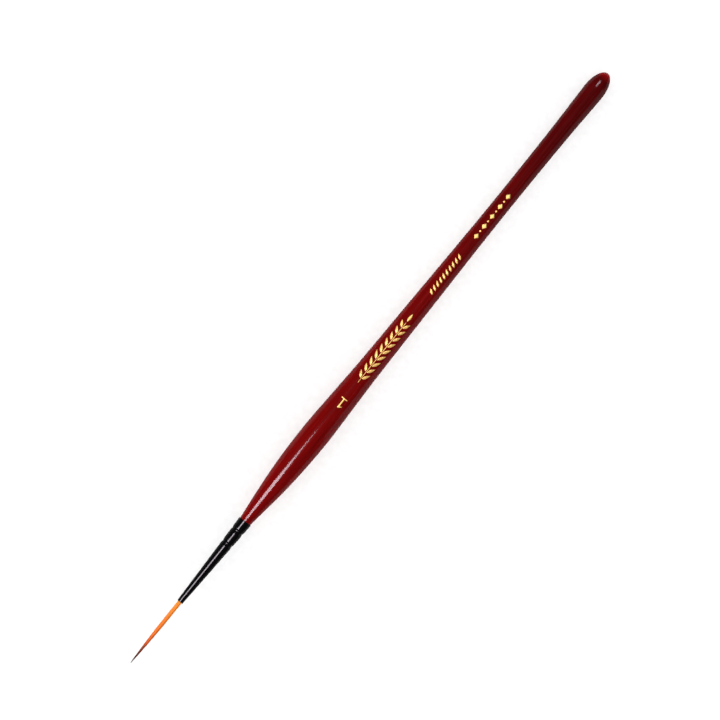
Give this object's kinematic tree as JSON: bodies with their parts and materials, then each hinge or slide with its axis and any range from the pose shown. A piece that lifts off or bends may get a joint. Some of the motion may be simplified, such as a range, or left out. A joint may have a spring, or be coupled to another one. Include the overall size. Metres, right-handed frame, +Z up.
{
  "type": "fine detail brush",
  "caption": "Slim fine detail brush with a lacquered wooden handle, a crimped tapered ferrule and a long pointed tuft of synthetic filaments.",
  "frame": {"origin": "middle of the resting brush's box, on the surface that it lies on", "axes": "+X along the brush from the tip of the hair towards the end of the handle, +Z up; the brush lies on its belly and its tail, so its axis falls by 0.48 degrees towards +X"},
  "size_m": [0.18, 0.0068, 0.0068],
  "materials": {
    "burgundy_lacquered_birch": "turned birch under a glossy translucent burgundy lacquer",
    "black_anodised_aluminium": "drawn tube, gloss black",
    "orange_synthetic_filament": "tapered filaments, dyed dark at the tips",
    "waxed_thread": "twisted and waxed",
    "amber_epoxy": "cast clear amber",
    "cured_wood_glue": "cured film"
  },
  "bodies": {
    "brush": {"handle": "burgundy_lacquered_birch", "ferrule": "black_anodised_aluminium", "resin_plug": "amber_epoxy", "handle_glue": "cured_wood_glue", "binding_thread": "waxed_thread"},
    "tuft": {"hair_tuft": "orange_synthetic_filament"}
  },
  "joints": [
    {"name": "tuft_flex", "type": "hinge", "parent": "brush", "child": "tuft", "pos_m": [-0.0714, 0, 0.00382], "axis": [0, 0, 1], "range_deg": [-40, 40], "stiffness_Nm_per_rad": 0.0002, "deforming": ["hair_tuft"]}
  ]
}
